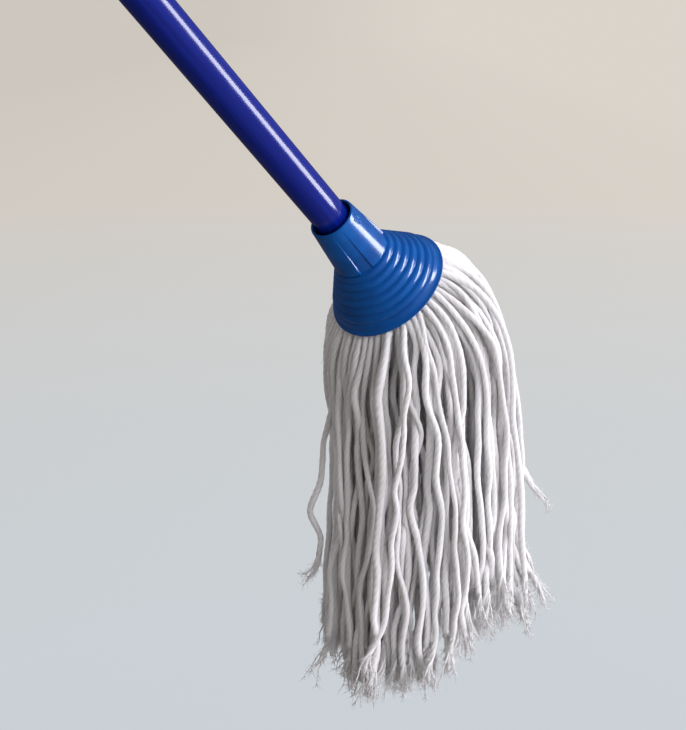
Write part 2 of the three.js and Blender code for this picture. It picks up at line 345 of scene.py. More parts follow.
def cotton_yarn():
    """Matte bleached cotton with painted shade in the valleys between its plies, and fibres that run along
    them.
    """
    look = Look(
        "cotton_yarn",
        Sheen_Weight=0.2,
        Sheen_Roughness=0.5,
        Specular_IOR_Level=0.1,
        Subsurface_Radius=(1.0, 1.0, 1.0),
        Subsurface_Scale=0.0025,
    )
    fibre = look.attribute("fibre", "Vector")
    tone = look.attribute("tone")
    valley = look.attribute("valley")
    look.feed("Subsurface Weight", look.ranged(valley, LOOSE, 0, 0, 0.75))
    slub = look.noise(fibre, (0.05, 0.3, 0.3), 3)
    lint = look.noise(fibre, (0.5, 6, 6), 4, 0.7)
    light = look.math("ADD", tone, look.ranged(slub, 0.3, 0.7, -0.18, 0.18))
    colour = look.mixed(light, (0.85, 0.84, 0.84), (0.95, 0.945, 0.95))
    # Painted shade: the valleys between plies are darkened in the base colour, along with darker lint specks
    # from the noise.
    ply_shade_and_lint = look.math("ADD", look.math("MULTIPLY", valley, 0.14), look.ranged(lint, 0.35, 0.7, 0.12, 0))
    look.feed("Base Color", look.mixed(ply_shade_and_lint, colour, (0.45, 0.435, 0.43)))
    look.feed("Roughness", look.ranged(lint, 0.3, 0.7, 0.85, 1.0))
    fuzz = look.bump(lint, 0.0003, 0.8)
    hairs = look.noise(fibre, (2.5, 14, 14), 2)
    look.feed("Normal", look.bump(hairs, 0.00012, 0.8, fuzz))
    return look.material


# ---- The yarn ----

STRAND_THICK = 4.4
PLIES = 4
PLY_LAY = 23.0  # one full turn of the plies, along the strand
PLY_DEPTH = 0.13  # the valleys between plies, as a share of the strand's radius
LOOSE = -1.0  # the valley value of loose plies and fibres, which cancels the painted ply shade and the lint's darkening, so they are lighter
CORD_STRANDS = 40  # the strands that are pieces of their own
SEED = 11

NODE_STEP = 4.0  # between the nodes that a strand is laid out with
SPARE_LENGTH = 50.0  # laid out beyond the usual length, for the longest strands
CURVE_STEPS = 8  # points of the smooth curve for one node
RINGS = 168  # round a finished strand
RING_POINTS = 16

# How many strands each layer has, outermost first, its radius at the mouth, where it hangs, and how soon
# it gets there.
LAYERS = [
    (54, 35.9, 58.0, 13.0),
    (50, 31.6, 53.5, 15.0),
    (44, 27.0, 47.0, 20.0),
    (36, 23.5, 38.5, 26.0),
    (28, 21.5, 28.0, 34.0),
    (18, 21.0, 15.0, 40.0),
]
# How much longer or shorter than the rest a strand is cut, by its place to the right of the line that
# faces the camera, in degrees.
CUT = [(-180, 8), (-130, 0), (-85, -1), (-64, 2), (-45, 3), (-20, 9), (-4, 6), (4, -1), (16, -10), (25, -14)]
CUT += [(35, -2), (47, 15), (62, 27), (80, 30), (110, 22), (180, 8)]
CUT_SCATTER = 4.5
FACING = math.radians(-110.4)  # the skirt's angle that faces the camera, where angles grow to the right
# The strands of the low front side fall straight down, which sets them back round the skirt.
DRIFT = math.radians(-17)
DRIFT_AT = math.radians(-20)
DRIFT_SPREAD = math.radians(48)
DRIFT_LENGTH = 35.0

# How the strands wander: the spacing of their random steps along the strand, and the size of the steps.
SWING = (56, 3.4)  # sideways, before they are pushed apart
BULGE = (44, 1.8)  # outwards, before they are pushed apart
KINK = (28, 2.0)  # sideways, after that
CRIMP = (13, 0.9)
DENT = (22, 1.3)  # outwards, after that
SLUB = (18, 0.08)  # in thickness, as a share of it
NUB = (7, 0.05)
FREE_LENGTH = 45.0  # below the mouth, over which a strand grows free to wander
CLUMPS = 13  # the bunches that the strands gather in
CLUMP_SIZE = 1.3
CLUMP_LENGTH = 70.0
TOUCHING = 0.93  # how near two strands come, as a share of their thickness
TOUCHING_FROM = 2.0  # below the mouth, where they start to push each other aside
TOUCHING_LENGTH = 14.0
PUSH = 0.35  # how much of an overlap each round takes from each strand
LIP_GAP = 0.2  # between a strand and the socket's lip
LIP_REACH = 4.0  # above the mouth, from where the lip can touch a strand
END_LENGTH = 45.0  # the last stretch, over which an end curls and splays
END_CURL = (4.5, 3.0)  # scatter along X and Y
SPLAY = 8.0  # how far the ends at one side stand outwards
SPLAY_LENGTH = 35.0  # from a strand's usual end, where that begins
SPLAY_AT = math.radians(75)
SPLAY_SPREAD = math.radians(25)

THICKNESS = (0.98, 0.07)  # a strand's share of the usual thickness, and its scatter
TAPER_LENGTH = 18.0
TAPER_TO = 0.3
TAPER_POWER = 0.7
TONE = (0.65, 0.25)  # how light a strand is, and its scatter
FIBRE_RADIUS = 2.3  # of the coordinates that the fibres of the material follow

FRAY_LENGTH = 27.0
FRAY_STEPS = 14
FRAY_SPREAD = (1.2, 4.4)
FRAY_WANDER = 0.45
FRAY_FALL = np.array([0, 0, -0.4])
PLY_RADIUS = 1.05
PLY_OFFSET = 0.26  # of a ply from the strand's centre line, as a share of the strand's thickness
FIBRE_STEPS = 5
FIBRE_CURL = 0.2
FIBRE_FALL = np.array([0, 0, -0.05])
TUFT_FIBRES = 110
TUFT_LENGTH = 7.5
TUFT_RADIUS = 0.3
LINT_FIBRES = 50
LINT_LENGTH = 4.5
LINT_RADIUS = 0.13
LINT_ROOT = 0.42  # from the strand's centre line, as a share of the strand's thickness


def wrapped(angle):
    """The same angle, within half a turn of zero."""
    return (angle + math.pi) % TURN - math.pi


def unit(vectors):
    return vectors / np.linalg.norm(vectors, axis=-1, keepdims=True)


def distances(line):
    """How far along a line each of its points is."""
    return np.concatenate([[0], np.cumsum(np.linalg.norm(np.diff(line, axis=0), axis=1))])


def points_at(wanted, gone, line):
    """Points at the wanted distances along a line, whose own points are at the distances gone."""
    return np.stack([np.interp(wanted, gone, line[:, axis]) for axis in range(3)], -1)


def softened(lines, rounds):
    """Draws each line's inner points towards their neighbours, in place."""
    for _ in range(rounds):
        lines[:, 1:-1] = (lines[:, :-2] + 2 * lines[:, 1:-1] + lines[:, 2:]) / 4
    return lines


def smooth_walk(random, count, length, spacing, size):
    """A wandering offset for each strand: random steps of about that spacing, with soft corners."""
    knots = np.arange(-ROOT_INSIDE, length[-1] + 2 * spacing, spacing)
    made = np.zeros((count, len(length)))
    for i in range(count):
        shift = random.uniform(0, spacing)
        values = random.normal(0, size, len(knots))
        made[i] = np.interp(length, knots - shift, values)
    return softened(made, 2)


def ring_radius(place, clamped, hanging, drop):
    """The radius of a layer: along the cone above the mouth, and from there out to where it hangs."""
    below = np.maximum(place - 1, 0)
    flared = clamped + (hanging - clamped) * (1 - np.exp(-below / drop)) + SPREAD_SLOPE * below
    return np.where(place < 0, clamped + place * CONE_SLOPE * clamped / LAYERS[0][1], flared)


def strand_nodes(angle, clamped, hanging, drop):
    """Points on a strand at equal steps of its length, from above the mouth to beyond its end."""
    place = np.arange(-ROOT_INSIDE, STRAND_LENGTH + 2 * SPARE_LENGTH, 1.0)
    fallen = np.maximum(place, 0)
    from_drift = wrapped(angle - FACING - DRIFT_AT)
    drift = DRIFT * math.exp(-((from_drift / DRIFT_SPREAD) ** 2)) * (1 - np.exp(-fallen / DRIFT_LENGTH))
    leaning = np.exp(-fallen * math.tan(LEAN) / SIDE_SHIFT)
    outward = unit(np.stack([np.ones_like(place), 0 * place, leaning * math.tan(LEAN)], -1))
    radius = ring_radius(place, clamped, hanging, drop)[:, None]
    centre = MOUTH_CENTRE + np.minimum(place, 0)[:, None] * DOWN
    centre = centre + np.stack([SIDE_SHIFT * (1 - leaning), 0 * place, -fallen], -1)
    angle = (angle + drift)[:, None]
    line = centre + radius * (np.cos(angle) * outward + np.sin(angle) * ACROSS)
    gone = distances(line)
    gone -= np.interp(0, place, gone)
    wanted = np.arange(-ROOT_INSIDE, STRAND_LENGTH + SPARE_LENGTH, NODE_STEP)
    return points_at(wanted, gone, line), wanted


def pushed_apart(nodes, length, clear, rounds, soften):
    """Strands that lie in each other are pushed aside, at each step of their length, to lie side by side."""
    from_itself = np.eye(len(nodes)) * STRAND_LENGTH
    for _ in range(rounds):
        ahead = unit(np.gradient(nodes, axis=1))
        for k in range(nodes.shape[1]):
            if clear[k] == 0:
                continue
            here = nodes[:, k]
            apart = here[:, None] - here[None, :]
            apart -= np.einsum("ijk,ik->ij", apart, ahead[:, k])[:, :, None] * ahead[:, k][:, None]
            far = np.linalg.norm(apart, axis=2) + from_itself
            push = np.maximum(clear[k] - far, 0) / far
            nodes[:, k] += PUSH * (apart * push[:, :, None]).sum(1)
        if soften:
            softened(nodes, 1)
        kept_off_socket(nodes, length)


def kept_off_socket(lines, length):
    """Moves what lies in the socket's wall or lip to where a strand just clears it."""
    half = STRAND_THICK / 2
    from_mouth = lines - MOUTH_CENTRE
    along = from_mouth @ DOWN
    spoke = from_mouth - along[..., None] * DOWN
    radius = np.linalg.norm(spoke, axis=-1)
    outward = spoke / radius[..., None]
    wall = MOUTH_RADIUS - CONE_WALL + along * CONE_SLOPE - half * math.hypot(1, CONE_SLOPE)
    inside = (length < 0) & (radius > wall)
    radius = np.where(inside, wall, radius)
    lip_along, lip_radius = -CONE_WALL / 2, MOUTH_RADIUS - CONE_WALL / 2
    ahead, out = along - lip_along, radius - lip_radius
    far = np.hypot(ahead, out)
    need = CONE_WALL / 2 + half + LIP_GAP
    touching = (length >= -LIP_REACH) & (far < need)
    grow = np.where(touching, need / np.maximum(far, LIP_GAP / 2), 1)
    along = np.where(touching, lip_along + ahead * grow, along)
    radius = np.where(touching, lip_radius + out * grow, radius)
    lines[...] = MOUTH_CENTRE + along[..., None] * DOWN + radius[..., None] * outward


def laid_strands(random):
    """The layers of strands before they wander: their nodes, distances, angles and layers."""
    angles, layer_of, lines = [], [], []
    for layer, (count, clamped, hanging, drop) in enumerate(LAYERS):
        for i in range(count):
            angle = TURN * (i + 0.5 * (layer % 2) + random.uniform(-0.3, 0.3)) / count
            line, length = strand_nodes(angle, clamped, hanging + random.normal(0, 1.6), drop)
            angles.append(angle)
            layer_of.append(layer)
            lines.append(line)
    return np.array(lines), length, np.array(angles), np.array(layer_of)


def hanging_skirt(random):
    """Layers of strands that wander, cross a little and touch, and the length that each is cut to."""
    nodes, length, angles, layer_of = laid_strands(random)
    count = len(nodes)
    outward = nodes - nodes[layer_of == 0].mean(axis=0)
    outward[:, :, 2] = 0
    outward = unit(outward)
    sideways = np.cross(outward, [0, 0, -1.0])

    def shift(beside, out):
        return beside[:, :, None] * sideways + out[:, :, None] * outward

    free = np.clip((length - 1) / FREE_LENGTH, 0, 1)
    swing = smooth_walk(random, count, length, *SWING)
    bulge = smooth_walk(random, count, length, *BULGE)
    clumps = CLUMP_SIZE * np.sin(CLUMPS * angles + 1.0)[:, None] * np.sin(length / CLUMP_LENGTH)[None, :]
    nodes += shift(free * (swing + clumps), free * bulge)
    clear = np.clip((length - TOUCHING_FROM) / TOUCHING_LENGTH, 0, 1) * TOUCHING * STRAND_THICK
    pushed_apart(nodes, length, clear, 12, soften=True)
    kink = smooth_walk(random, count, length, *KINK) + smooth_walk(random, count, length, *CRIMP)
    dent = smooth_walk(random, count, length, *DENT)
    nodes += shift(free * kink, free * dent)
    curl = np.clip((length - (STRAND_LENGTH - END_LENGTH)) / END_LENGTH, 0, 1.3) ** 2
    aside = np.stack([*(random.normal(0, scatter, count) for scatter in END_CURL), 0 * angles], -1)
    nodes += curl[:, None] * aside[:, None]
    pushed_apart(nodes, length, clear, 7, soften=False)
    softened(nodes, 2)
    beside = wrapped(angles - FACING)
    places, changes = np.array(CUT, float).T
    lengths = STRAND_LENGTH + np.interp(np.degrees(beside), places, changes)
    lengths += random.normal(0, CUT_SCATTER, count)
    splay = SPLAY * np.exp(-(((beside - SPLAY_AT) / SPLAY_SPREAD) ** 2))
    end = np.clip((length - (STRAND_LENGTH - SPLAY_LENGTH)) / END_LENGTH, 0, 1.4) ** 2
    nodes += (splay[:, None] * end[None, :])[:, :, None] * outward
    return nodes, length, lengths, angles, layer_of, beside


# The strands that stray, told by their place to the right of the camera-facing line, in degrees, with
# their length and [distance down the strand, shift to the camera's right, shift towards the camera].
FAR_LEFT = [(60, 0, 0), (88, -7, 2), (116, -6, 2), (140, -16, 2), (160, -6, 2), (184, -8, 0), (200, -22, 2)]
FRONT_LEFT = [(12, -2, 4), (32, -3, 7), (64, -5, 7), (120, -7, 7), (164, 0, 7), (196, -10, 7), (246, -8, 4)]
FRONT = [(20, -5, 4), (52, -5, 7), (96, -7, 7), (140, -14, 7), (168, -14, 7), (208, -18, 6), (226, -24, 5)]
STRAYS = [
    (-96, 200, FAR_LEFT),
    (-84, 250, [(150, 0, 0), (176, -5, 0), (208, -6, 0), (232, -6, 0), (250, -13, 2)]),
    (72, 208, [(110, 0, 0), (170, 5, 0), (192, 13, 0), (208, 26, 0)]),
    (-32, 246, FRONT_LEFT),
    (-18, 244, FRONT),
    (4, 250, [(28, -9, 4), (52, -12, 7), (108, -9, 7), (136, -2, 7), (180, -1, 6), (250, 3, 5)]),
]


def led_astray(nodes, length, lengths, beside, layer_of):
    """The nearest outer strand to each stray's place takes its length and shifts."""
    for place, long, shifts in STRAYS:
        off = np.abs(beside - math.radians(place)) + TURN * (layer_of > 0)
        chosen = int(off.argmin())
        lengths[chosen] = long
        at, right, near = np.array([(0, 0, 0), *shifts], float).T
        right = np.interp(length, at, right)
        near = np.interp(length, at, near)
        moved = right[:, None] * RIGHT + near[:, None] * BACK
        nodes[chosen] += softened(moved[None], 2)[0]


def even_lines(nodes, lengths):
    """Each strand's line at equal steps from its root to its own end, on a smooth curve through its nodes."""
    before = np.concatenate([nodes[:, :1], nodes[:, :-1]], axis=1)[:, :-1]
    after = np.concatenate([nodes[:, 1:], nodes[:, -1:]], axis=1)[:, 1:]
    here, there = nodes[:, :-1], nodes[:, 1:]
    pieces = []
    for t in np.arange(CURVE_STEPS) / CURVE_STEPS:
        rise = (there - before) * t
        bend = (2 * before - 5 * here + 4 * there - after) * t * t
        twist = (3 * here - before - 3 * there + after) * t**3
        pieces.append(0.5 * (2 * here + rise + bend + twist))
    curves = np.stack(pieces, axis=2).reshape(len(nodes), -1, 3)
    made = []
    for curve, long in zip(curves, lengths):
        wanted = np.linspace(0, long + ROOT_INSIDE, RINGS)
        made.append(points_at(wanted, distances(curve), curve))
    return np.array(made)


def carried_frames(lines):
    """The way ahead and two directions across it, carried along each line without turning about it."""
    ahead = unit(np.gradient(lines, axis=1))
    first = np.cross(ahead[:, 0], ACROSS)
    short = np.linalg.norm(first, axis=1) < 1e-3
    first[short] = np.cross(ahead[short, 0], [1.0, 0, 0])
    sides = [unit(first)]
    for k in range(1, lines.shape[1]):
        sides.append(unit(sides[-1] - (sides[-1] * ahead[:, k]).sum(1)[:, None] * ahead[:, k]))
    side = np.stack(sides, axis=1)
    return ahead, side, np.cross(ahead, side)


def tubes(lines, radii, points, twist=None, lobed=0.0):
    """Closed tubes round lines: their points, four-corner and three-corner faces, and lobe valleys."""
    count, rings = lines.shape[:2]
    _, side, other = carried_frames(lines)
    round_angle = full_turn(points)
    valley = 1 - np.abs(np.cos(PLIES / 2 * round_angle))
    radius = radii[:, :, None] * (1 - lobed * valley)
    angle = round_angle[None, None, :] + (0 if twist is None else twist[:, :, None])
    skin = lines[:, :, None] + radius[..., None] * (
        np.cos(angle)[..., None] * side[:, :, None] + np.sin(angle)[..., None] * other[:, :, None]
    )
    ends = np.stack([lines[:, 0], lines[:, -1]], axis=1)
    per_tube = rings * points + 2
    verts = np.concatenate([skin.reshape(count, -1, 3), ends], axis=1)
    quads = grid_faces(rings, points)
    around = np.arange(points)
    following = (around + 1) % points
    top = np.stack([np.full(points, rings * points), following, around], -1)
    last = (rings - 1) * points
    bottom = np.stack([np.full(points, rings * points + 1), last + around, last + following], -1)
    tris = np.concatenate([top, bottom])
    shift = (np.arange(count) * per_tube)[:, None, None]
    return (
        verts.reshape(-1, 3),
        (quads[None] + shift).reshape(-1, 4),
        (tris[None] + shift).reshape(-1, 3),
        np.tile(np.concatenate([np.tile(valley, rings), [0, 0]]), count),
    )


def strand_tubes(lines, random):
    """One set of tube arrays per strand, with the values that the yarn's material reads."""
    count, rings = lines.shape[:2]
    step = np.linalg.norm(np.diff(lines, axis=1), axis=2).mean(axis=1)
    gone = step[:, None] * np.arange(rings)[None, :]
    twist = gone * TURN / PLY_LAY + random.uniform(0, TURN, count)[:, None]
    place = np.linspace(-ROOT_INSIDE, STRAND_LENGTH, rings)
    slubs = smooth_walk(random, count, place, *SLUB) + smooth_walk(random, count, place, *NUB)
    radii = STRAND_THICK / 2 * (1 + slubs) * random.normal(*THICKNESS, count)[:, None]
    left = gone[:, -1:] - gone
    radii *= TAPER_TO + (1 - TAPER_TO) * np.clip(left / TAPER_LENGTH, 0, 1) ** TAPER_POWER
    tones = np.clip(random.normal(*TONE, count), 0, 1)
    seeds = random.uniform(0, 500, count)
    spun = np.tile(full_turn(RING_POINTS), rings)
    made = []
    for i in range(count):
        one = slice(i, i + 1)
        verts, quads, tris, valley = tubes(lines[one], radii[one], RING_POINTS, twist[one], PLY_DEPTH)
        along = np.repeat(gone[i], RING_POINTS) + seeds[i]
        fibre = np.stack([along, FIBRE_RADIUS * np.cos(spun), FIBRE_RADIUS * np.sin(spun)], -1)
        fibre = np.concatenate([fibre, fibre[:1], fibre[-1:]])
        made.append((verts, quads, tris, valley, fibre, np.full(len(verts), tones[i])))
    return made, twist, tones


def loose_tubes(lines, radii, points, tone):
    """Tubes round loose plies or fibres, with the values that the yarn's material reads."""
    verts, quads, tris, valley = tubes(lines, radii, points)
    return verts, quads, tris, np.full(len(valley), LOOSE), verts.copy(), np.full(len(verts), tone)


def loose_fibres(roots, headings, longest, thickest, random):
    """Fine curling fibres that stand off the yarn at these points."""
    bend = random.normal(0, FIBRE_CURL, roots.shape) + FIBRE_FALL
    step = random.uniform(0.3, 1, (len(roots), 1)) * longest / FIBRE_STEPS
    ahead = unit(headings)
    lines = [roots]
    for _ in range(FIBRE_STEPS):
        ahead = unit(ahead + bend * step)
        lines.append(lines[-1] + ahead * step)
    lines = np.stack(lines, axis=1)
    radii = random.uniform(0.5, 1, (len(lines), 1)) * thickest * np.linspace(1, 0.35, lines.shape[1])
    return loose_tubes(lines, radii, 3, 1.0)


def frayed_end(line, twist, tone, random):
    """A strand's last plies come apart, wander and end in loose fibres."""
    step = np.linalg.norm(np.diff(line, axis=0), axis=1).mean()
    back = int(FRAY_LENGTH / step)
    start = len(line) - 1 - back
    ahead, side, other = (axis[0] for axis in carried_frames(line[None]))
    spread = random.uniform(*FRAY_SPREAD)
    t = np.linspace(0, 1, FRAY_STEPS)
    plies = []
    for ply in range(PLIES):
        gone = t * (FRAY_LENGTH + random.uniform(-4, 7))
        base = points_at(gone, np.arange(back + 1) * step, line[start:])
        beyond = np.maximum(gone - back * step, 0)
        base += beyond[:, None] * (0.6 * ahead[-1] + FRAY_FALL)
        angle = twist[start] + ply * TURN / PLIES + gone * TURN / PLY_LAY * (1 - 0.5 * t)
        out = STRAND_THICK * PLY_OFFSET + spread * t**2 * random.uniform(0.3, 1.5)
        ring = np.cos(angle)[:, None] * side[start] + np.sin(angle)[:, None] * other[start]
        wander = np.cumsum(random.normal(0, FRAY_WANDER, (FRAY_STEPS, 3)), axis=0) * t[:, None]
        plies.append(base + out[:, None] * ring + wander)
    plies = np.array(plies)
    radii = PLY_RADIUS * np.linspace(1, 0.25, FRAY_STEPS)[None, :] * random.uniform(0.8, 1.1, (PLIES, 1))
    tuft = loose_tubes(plies, radii, 6, 0.5 + 0.5 * tone)
    ply = random.integers(0, PLIES, TUFT_FIBRES)
    root = random.integers(3, FRAY_STEPS, TUFT_FIBRES)
    heading = unit(plies[ply, root] - plies[ply, root - 1])
    heading += random.normal(0, 0.35, heading.shape)
    return [tuft, loose_fibres(plies[ply, root], heading, TUFT_LENGTH, TUFT_RADIUS, random)]


def lint(line, random):
    """Short fibres that stand off a strand all along it."""
    ahead, side, other = (axis[0] for axis in carried_frames(line[None]))
    at = random.integers(14, len(line) - 8, LINT_FIBRES)
    angle = random.uniform(0, TURN, LINT_FIBRES)[:, None]
    out = np.cos(angle) * side[at] + np.sin(angle) * other[at]
    roots = line[at] + out * STRAND_THICK * LINT_ROOT
    heading = out * 0.6 + ahead[at] * random.uniform(-0.6, 1.2, angle.shape)
    return loose_fibres(roots, heading, LINT_LENGTH, LINT_RADIUS, random)


def joined(parts):
    """The arrays of several sets of tubes as one set."""
    shift = 0
    stores = [[], [], [], [], [], []]
    for verts, quads, tris, *values in parts:
        for store, part in zip(stores, (verts, quads + shift, tris + shift, *values)):
            store.append(part)
        shift += len(verts)
    return [np.concatenate(store) for store in stores]


def yarn_piece(name, parts, material):
    """A piece of yarn that runs from the clamp down into the skirt."""
    verts, quads, tris, valley, fibre, tone = joined(parts)
    extras = {"valley": valley, "fibre": fibre, "tone": tone}
    piece = make_mesh(name, verts * MM, [quads, tris], extras)
    piece.data.materials.append(material)
    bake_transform(piece)
    return piece


def make_yarn():
    """The skirt: its outermost strands are cords of their own, and the rest make one piece per lock."""
    random = np.random.default_rng(SEED)
    nodes, length, lengths, angles, layer_of, beside = hanging_skirt(random)
    led_astray(nodes, length, lengths, beside, layer_of)
    lines = even_lines(nodes, lengths)
    gone = np.linspace(-ROOT_INSIDE, lengths, RINGS).T
    for _ in range(3):
        kept_off_socket(lines, gone)
        softened(lines, 1)
    parts, twist, tones = strand_tubes(lines, random)
    frays = [frayed_end(lines[i], twist[i], tones[i], random) for i in range(len(lines))]
    for i in np.flatnonzero(layer_of < 2):
        frays[i].append(lint(lines[i], random))
    cotton = cotton_yarn()
    outer = np.flatnonzero(layer_of == 0)
    cords = outer[np.linspace(0, len(outer) - 1, CORD_STRANDS).round().astype(int)]
    for number, i in enumerate(cords, 1):
        piece = yarn_piece(f"yarn_strand_{number:02d}", [parts[i]], cotton)
    own_cord = set(cords.tolist())
    lock_of = (np.round(angles * LOCKS / TURN).astype(int)) % LOCKS
    for lock in range(LOCKS):
        inside = np.flatnonzero(lock_of == lock)
        chosen = [parts[i] for i in inside if i not in own_cord]
        for i in inside:
            chosen += frays[i]
        piece = yarn_piece(f"yarn_bundle_{lock + 1:02d}", chosen, cotton)
        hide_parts(f"yarn_root_{lock + 1:02d}", f"yarn_lock_{lock + 1:02d}")


# ---- The handle ----

NEAR_AXIS = 0.5  # the radius of the pinhole that a turned piece keeps along its axis
SPIGOT_RADIUS = TUBE_RADIUS - TUBE_WALL - GAP
SPIGOT_BEVEL = 0.8

TUBE_ROWS = 48
TUBE_EDGE = 0.25  # the rounding of the tube's ends
SEAM_AT = math.radians(150)  # where the film laps over itself
SEAM_SPREAD = math.radians(5)
SEAM_HEIGHT = 0.12

TIP_SPIGOT = 24.0
TIP_BEVEL = 0.4
THREAD_ROW = 0.25  # between the thread's rows of points
CAP_SPIGOT = 22.0
COLLAR_RADIUS = 11.6
COLLAR_LENGTH = 4.0
CAP_TOP = -6.2
CAP_TOP_RADIUS = 6.5
EYE_AT = -19.0
EYE_RADIUS = 5.0
LUG_RADIUS = 11.0
LUG_HALF = 3.0  # half its thickness
LUG_EDGE = 1.1  # the rounding of its edges
LUG_FOOT = 15.5  # how far below the eye it reaches into the cap
LUG_STEPS = 24


def turned_piece(name, outline, angles, origin=MOUTH, radius_at=None, crest=None):
    """A turned piece in metres. radius_at(radius, along, angle) changes radii; crest says where it scuffs."""
    points, faces = turned_ring(outline, angles)
    if radius_at is not None:
        radius = radius_at(outline[:, 0][:, None], outline[:, 1][:, None], np.asarray(angles)[None, :])
        radius = np.broadcast_to(radius, points.shape[:2])
        points[..., 0] = radius * np.cos(angles)
        points[..., 1] = radius * np.sin(angles)
    local = points.reshape(-1, 3)
    worn = np.zeros(len(local)) if crest is None else np.broadcast_to(crest, points.shape[:2]).ravel()
    extras = {"local": local * MM, "crest": worn}
    return make_mesh(name, placed(local, origin), [faces], extras)


def make_handle():
    """The tube, open at both ends, with the lap of its film as a low ridge."""
    inner = TUBE_RADIUS - TUBE_WALL
    length = TUBE_FOOT - TUBE_TOP
    outer = [(TUBE_RADIUS, along) for along in np.linspace(TUBE_EDGE, length - TUBE_EDGE, TUBE_ROWS)]
    outline = [(inner, 0), (TUBE_RADIUS - TUBE_EDGE, 0), *outer]
    outline += [(TUBE_RADIUS - TUBE_EDGE, length), (inner, length)]

    def with_seam(radius, along, angle):
        raised = SEAM_HEIGHT * np.exp(-((wrapped(angle - SEAM_AT) / SEAM_SPREAD) ** 2))
        return radius + np.where(radius > inner, raised, 0)

    tube = turned_piece("handle_shell", np.array(outline), full_turn(128), TUBE_TOP, with_seam)
    dressed(tube, "handle", "handle_film", handle_film(), "handle_tube")


def thread_radius(along, angle, grow):
    hollow = (1 - np.cos(TURN * (along / THREAD_PITCH) - angle)) / 2
    return THREAD_RADIUS + grow - THREAD_DEPTH * hollow


def make_screw_tip(plastic):
    """A spigot in the tube, a shoulder against its end, and the coarse round thread."""
    shoulder = THREAD_TOP - SHOULDER + GAP
    top = shoulder - TIP_SPIGOT
    plain = [(NEAR_AXIS, top), (SPIGOT_RADIUS - SPIGOT_BEVEL, top), (SPIGOT_RADIUS, top + 1)]
    plain += [(SPIGOT_RADIUS, shoulder), (TUBE_RADIUS, shoulder)]
    plain += [(TUBE_RADIUS, THREAD_TOP + 0.2), (TUBE_RADIUS - TIP_BEVEL, THREAD_TOP + 0.6)]
    turns = [(THREAD_RADIUS, along) for along in np.arange(THREAD_TOP + 1, THREAD_FOOT - 0.6, THREAD_ROW)]
    foot = [(THREAD_RADIUS - THREAD_DEPTH - TIP_BEVEL, THREAD_FOOT), (NEAR_AXIS, THREAD_FOOT)]
    outline = np.array(plain + turns + foot)
    thread_from = len(plain)
    thread_to = thread_from + len(turns)
    row = np.arange(len(outline))[:, None]

    def threaded(radius, along, angle):
        in_thread = (row >= thread_from) & (row < thread_to)
        return np.where(in_thread, thread_radius(along, angle, 0), radius)

    piece = turned_piece("screw_tip_shell", outline, full_turn(72), MOUTH, threaded)
    dressed(piece, "handle", "handle_plastic", plastic, "screw_tip")


def cap_body():
    """Local points and faces of the cap's spigot and collar."""
    outline = round_corners(
        [
            (NEAR_AXIS, CAP_SPIGOT, 0),
            (SPIGOT_RADIUS - SPIGOT_BEVEL, CAP_SPIGOT, 0),
            (SPIGOT_RADIUS, CAP_SPIGOT - 1, 0),
            (SPIGOT_RADIUS, -GAP, 0),
            (COLLAR_RADIUS, -GAP, 0.5),
            (COLLAR_RADIUS, -COLLAR_LENGTH - GAP, 1.4),
            (CAP_TOP_RADIUS, CAP_TOP, 1.5),
            (NEAR_AXIS, CAP_TOP, 0),
        ],
        5,
    )
    return turned_ring(outline, full_turn(72))


def hanging_lug():
    """Local points and faces of the rounded plate round the eye, with a square foot in the cap."""
    angles = full_turn(96)
    across, down = np.cos(angles), np.sin(angles)
    square = np.minimum(LUG_RADIUS / np.maximum(np.abs(across), 1e-6), LUG_FOOT / np.maximum(down, 1e-6))
    reach = np.where(down > 0, square, LUG_RADIUS)
    rows = []
    for t in full_turn(LUG_STEPS):
        cos_t, sin_t = math.cos(t), math.sin(t)
        edge = LUG_EDGE * (1 - abs(cos_t))
        spoke = reach - edge if cos_t > 0 else np.full(len(angles), EYE_RADIUS + edge)
        height = np.full(len(angles), np.sign(sin_t) * (LUG_HALF - LUG_EDGE) + LUG_EDGE * sin_t)
        rows.append(np.stack([spoke * across, height, EYE_AT + spoke * down], -1))
    return np.array(rows), grid_faces(LUG_STEPS, len(angles), rows_meet=True)


def make_end_cap(plastic):
    """The cap in the tube's top, and the lug with the hanging eye."""
    body, body_faces = cap_body()
    lug, lug_faces = hanging_lug()
    body = body.reshape(-1, 3)
    lug = lug.reshape(-1, 3)
    local = np.concatenate([body, lug])
    worn = np.concatenate([np.zeros(len(body)), np.full(len(lug), 0.6)])
    extras = {"local": local * MM, "crest": worn}
    faces = [body_faces, lug_faces + len(body)]
    piece = make_mesh("end_cap_shell", placed(local, TUBE_TOP), faces, extras)
    dressed(piece, "handle", "handle_plastic", plastic, "end_cap")


# ---- The socket ----

RIB_STEPS = 12
CONE_SPREAD = math.atan(CONE_SLOPE)
RIM_ROUND = 0.8  # how far the sleeve's rim is rounded
SLEEVE_STEP = 0.3  # between the sleeve's base and the first rib
BEAD_FROM = 0.6  # below the last rib
BEAD_TO = 1.4  # above the cone's lip
BEAD_HEIGHT = 0.6
BEAD_WAVE = 4.0  # half a wave's length
PANEL_EDGE = math.radians(1.4)
MARK_AT = math.radians(-112)
MARK_BELOW_RIM = 7.0  # where the U's arms turn into its round foot
MARK_HALF = 1.9  # half the U's width
MARK_ARMS = 3.2
MARK_ARM_SHARE = 0.3  # of the U's points, for one arm
MARK_STEPS = 25
MARK_RADIUS = 0.5


def down_the_cone(down, proud):
    """A point that far down the cone's slope from the sleeve's base, and proud of it."""
    return (
        SLEEVE_BASE_RADIUS + down * math.sin(CONE_SPREAD) + proud * math.cos(CONE_SPREAD),
        -CONE_LENGTH + down * math.cos(CONE_SPREAD) - proud * math.sin(CONE_SPREAD),
    )


